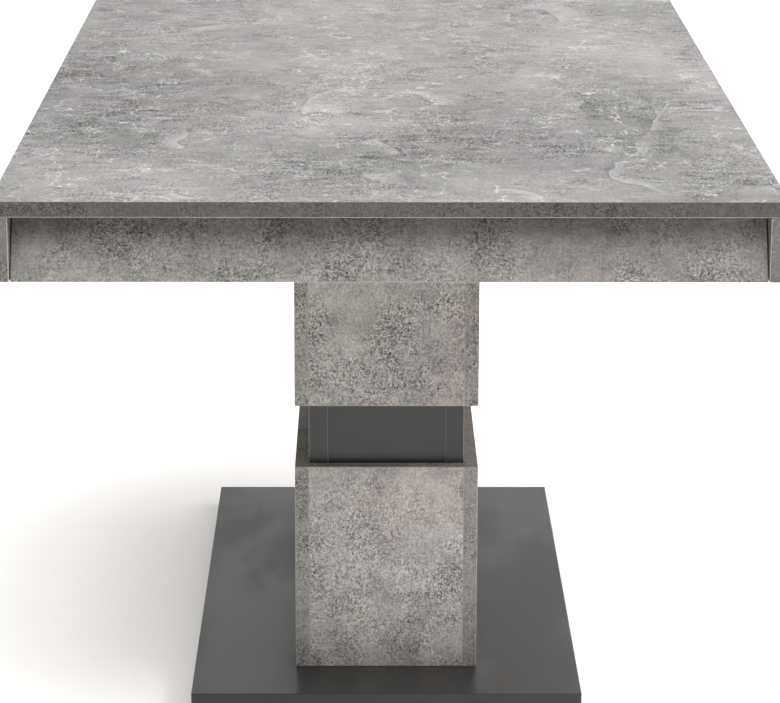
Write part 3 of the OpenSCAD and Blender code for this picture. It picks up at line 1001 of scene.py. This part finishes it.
@dataclass
class TopFrame:
    """The fixed top with its aprons, rails, mounting board and the bearers' guides."""

    finishes: Finishes
    body: str = "table"
    dowel_chamfer: float = 0.9 * MM
    # This seed gives a print with a dark cloud at the near end, which also stands in as painted shade for
    # light falling off towards the front
    top_seed: int = 16
    apron_seed: int = 11

    def build(self) -> None:
        """Builds the top and its frame."""
        Board("table_top", self.body, self.finishes.top, PRINT_BOARD, seed=self.top_seed).build()
        for seed, side in enumerate(("left", "right"), self.apron_seed):
            Board(f"side_apron_{side}", self.body, self.finishes.frame, PRINT_BOARD, seed=seed).build()
        for end in Side:
            ease_node(f"centre_rail_{end.value}", self.finishes.beech_cross)
            for side in ("left", "right"):
                ease_node(f"guide_{end.value}_{side}", self.finishes.plastic, 0.4)
        ease_node("mounting_board", self.finishes.beech_cross, 0.6)
        self._fasten()

    def _fasten(self) -> None:
        """Puts in the screws and dowels."""
        for node in ("board_screws", "guide_screws"):
            repeat(WoodScrew(), node, self.body, self.finishes.steel)
        dowel = Turned(chamfer=self.dowel_chamfer)
        repeat(dowel, "apron_dowels", self.body, self.finishes.beech_upright)
        repeat(dowel, "rail_dowels", self.body, self.finishes.beech_cross)


@dataclass
class Column:
    """The dark core and the two blocks of cladding round it."""

    finishes: Finishes
    body: str = "table"
    ease_mm: float = 0.7
    core_seed: int = 21
    upper_seed: int = 31
    lower_seed: int = 41

    def build(self) -> None:
        """Builds the core, its boards and angles, and the cladding."""
        for seed, part in enumerate(("side_left", "side_right", "panel_front", "panel_rear"), self.core_seed):
            Board(f"core_{part}", self.body, self.finishes.dark, DARK_BOARD, Grain.UPRIGHT,
                  self.ease_mm, seed).build()
        for block, first in (("upper", self.upper_seed), ("lower", self.lower_seed)):
            for seed, part in enumerate(("panel_front", "panel_rear", "side_left", "side_right"), first):
                Board(f"{block}_{part}", self.body, self.finishes.cladding, PRINT_BOARD, Grain.UPRIGHT,
                      self.ease_mm, seed).build()
        for board in ("core_head_board", "core_foot_board"):
            ease_node(board, self.finishes.beech_long)
        ease_node("head_angles", self.finishes.steel, 0.4)
        repeat(WoodScrew(), "angle_screws", self.body, self.finishes.steel)


@dataclass
class Base:
    """The base plate on its glides, and the tie rods that hold the column to it."""

    finishes: Finishes
    body: str = "table"
    ease_mm: float = 1.0
    thread_end: float = 28 * MM
    nut_pocket_play: float = 2.0 * MM
    nut_pocket_sides: int = 40
    plate_seed: int = 51

    def build(self) -> None:
        """Builds the plate, its glides and the tie rods with their nuts and washers."""
        plate = Board("base_plate", self.body, self.finishes.dark, DARK_BOARD, Grain.LENGTH,
                      self.ease_mm, self.plate_seed).build()
        self._cut_pockets(plate)
        repeat(Turned(48, 1.4 * MM), "floor_glides", self.body, self.finishes.plastic)
        rod_radius = spots_of("tie_rods")[0].width / 2
        fittings = {"tie_rods": Turned(24, 0.8 * MM, threaded=self.thread_end),
                    "tie_rod_nuts": Turned(6, 0.3 * MM, bore=rod_radius),
                    "tie_rod_washers": Turned(40, 0.3 * MM, bore=rod_radius)}
        for node, shape in fittings.items():
            repeat(shape, node, self.body, self.finishes.steel)

    def _cut_pockets(self, plate: Piece) -> None:
        """Sinks the pockets for the lower nuts into the plate's underside.

        Args:
            plate: The plate's board.
        """
        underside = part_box("base_plate")[0].z
        washers = [spot for spot in spots_of("tie_rod_washers") if spot.foot.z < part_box("base_plate")[1].z]
        for spot in washers:
            deep = spot.foot.z + spot.length - underside
            tool = bmesh.new()
            radius = spot.width / 2 + self.nut_pocket_play
            bmesh.ops.create_cone(tool, cap_ends=True, segments=self.nut_pocket_sides, radius1=radius,
                                  radius2=radius, depth=2 * deep,
                                  matrix=Matrix.Translation((spot.foot.x, spot.foot.y, underside)))
            mesh = bpy.data.meshes.new("nut_pocket")
            tool.to_mesh(mesh)
            tool.free()
            cutter = bpy.data.objects.new("nut_pocket", mesh)
            bpy.context.scene.collection.objects.link(cutter)
            cut = plate.modifiers.new("pocket", "BOOLEAN")
            cut.object, cut.operation, cut.solver = cutter, "DIFFERENCE", "EXACT"
            graph = bpy.context.evaluated_depsgraph_get()
            carved = bpy.data.meshes.new_from_object(plate.evaluated_get(graph))
            plate.modifiers.remove(cut)
            plate.data = carved
            bpy.data.objects.remove(cutter)
        plate.data.name = plate.name


@dataclass
class PullOut:
    """One leaning end board with its bearers, battens, blocks and lift plates."""

    end: Side
    finishes: Finishes
    seed: int

    def build(self) -> None:
        """Builds the end board and what runs with it."""
        body, name = f"{self.end.value}_pullout", self.end.value
        Board(f"{name}_end_board", body, self.finishes.frame, PRINT_BOARD, Grain.WIDTH,
              seed=self.seed).build()
        for side in ("left", "right"):
            ease_node(f"{name}_bearer_{side}", self.finishes.beech_long, 0.8)
        ease_node(f"{name}_cross_batten", self.finishes.beech_cross, 0.8)
        ease_node(f"{name}_corner_blocks", self.finishes.beech_cross, 0.6)
        ease_node(f"{name}_lift_plates", self.finishes.steel, 0.4)
        repeat(WoodScrew(), f"{name}_block_screws", body, self.finishes.steel)
        repeat(Turned(chamfer=0.5 * MM), f"{name}_stop_pins", body, self.finishes.steel)


@dataclass
class LeafUnit:
    """One extension leaf with its battens and the brackets that lift it."""

    end: Side
    finishes: Finishes
    seed: int

    def build(self) -> None:
        """Builds the leaf and dresses its battens and brackets."""
        body, name = f"{self.end.value}_leaf_unit", self.end.value
        Board(f"{name}_leaf", body, self.finishes.top, PRINT_BOARD, seed=self.seed).build()
        ease_node(f"{name}_leaf_battens", self.finishes.beech_cross, 0.8)
        ease_node(f"{name}_leaf_brackets", self.finishes.steel, 0.4)


# ---- studio


@dataclass(frozen=True)
class SoftBox:
    """A large soft area light."""

    name: str
    place: Triple
    aim: Triple
    width: float
    height: float
    watts: float

    def build(self) -> None:
        """Hangs the light and points it at its aim."""
        lamp = bpy.data.lights.new(self.name, "AREA")
        lamp.shape, lamp.size, lamp.size_y, lamp.energy = "RECTANGLE", self.width, self.height, self.watts
        holder = bpy.data.objects.new(self.name, lamp)
        holder.location = self.place
        holder.rotation_euler = (Vector(self.aim) - Vector(self.place)).to_track_quat("-Z", "Y").to_euler()
        holder.visible_camera = False
        bpy.context.scene.collection.objects.link(holder)


@dataclass
class Studio:
    """A plain pale floor, soft light and the camera."""

    floor_size: float = 60.0
    floor_colour: str = "#fbfbfa"
    sky_strength: float = 0.5
    camera_place: Triple = (-0.02645, -4.2524, 1.52704)
    pan: float = -0.45
    tilt: float = 74.762
    roll: float = 0.144
    lens: float = 145.44
    sensor: float = 36.0
    boxes: tuple[SoftBox, ...] = (
        SoftBox("overhead_softbox", (0.4, -0.6, 5.0), (0.0, 0.0, 0.0), 9.0, 9.0, 600),
        SoftBox("right_softbox", (3.4, -1.0, 3.2), (0.0, 0.0, 0.4), 3.0, 2.0, 130),
        SoftBox("back_softbox", (0.0, 7.0, 2.2), (0.0, 0.0, 0.4), 8.0, 3.0, 40),
    )

    def build(self) -> None:
        """Builds the floor, the sky, the lights and the camera."""
        mesh = bpy.data.meshes.new("studio_floor")
        half = self.floor_size / 2
        around = [(-half, -half, 0), (half, -half, 0), (half, half, 0), (-half, half, 0)]
        mesh.from_pydata(around, [], [(0, 1, 2, 3)])
        material, tree = new_material("matt_studio_floor")
        surface(tree, Base_Color=linear(self.floor_colour), Roughness=0.9)
        mesh.materials.append(material)
        floor = bpy.data.objects.new("studio_floor", mesh)
        bpy.context.scene.collection.objects.link(floor)
        world = bpy.data.worlds.new("studio_sky")
        world.use_nodes = True
        sky = world.node_tree.nodes["Background"]
        sky.inputs["Color"].default_value = (1.0, 1.0, 1.0, 1.0)
        sky.inputs["Strength"].default_value = self.sky_strength
        bpy.context.scene.world = world
        bpy.context.scene.view_settings.view_transform = "Standard"
        for box in self.boxes:
            box.build()
        self._set_camera()

    def _set_camera(self) -> None:
        """Sets the camera up in front of the table, looking slightly down."""
        camera = bpy.data.cameras.new("camera")
        camera.lens, camera.sensor_width = self.lens, self.sensor
        holder = bpy.data.objects.new("camera", camera)
        turn = Matrix.Rotation(math.radians(self.pan), 4, "Z")
        turn @= Matrix.Rotation(math.radians(self.tilt), 4, "X")
        turn @= Matrix.Rotation(math.radians(self.roll), 4, "Z")
        holder.matrix_world = Matrix.Translation(self.camera_place) @ turn
        bpy.context.scene.collection.objects.link(holder)
        bpy.context.scene.camera = holder


def main() -> None:
    """Builds the table's visual model in order, then the studio."""
    logging.basicConfig(level=logging.INFO, format="%(message)s")
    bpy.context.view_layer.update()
    finishes = Finishes()
    for assembly in (TopFrame(finishes), Column(finishes), Base(finishes)):
        assembly.build()
    for end, board_seed, leaf_seed in ((Side.FRONT, 66, 76), (Side.REAR, 65, 75)):
        PullOut(end, finishes, board_seed).build()
        LeafUnit(end, finishes, leaf_seed).build()
    Studio().build()


if __name__ == "__main__":
    main()
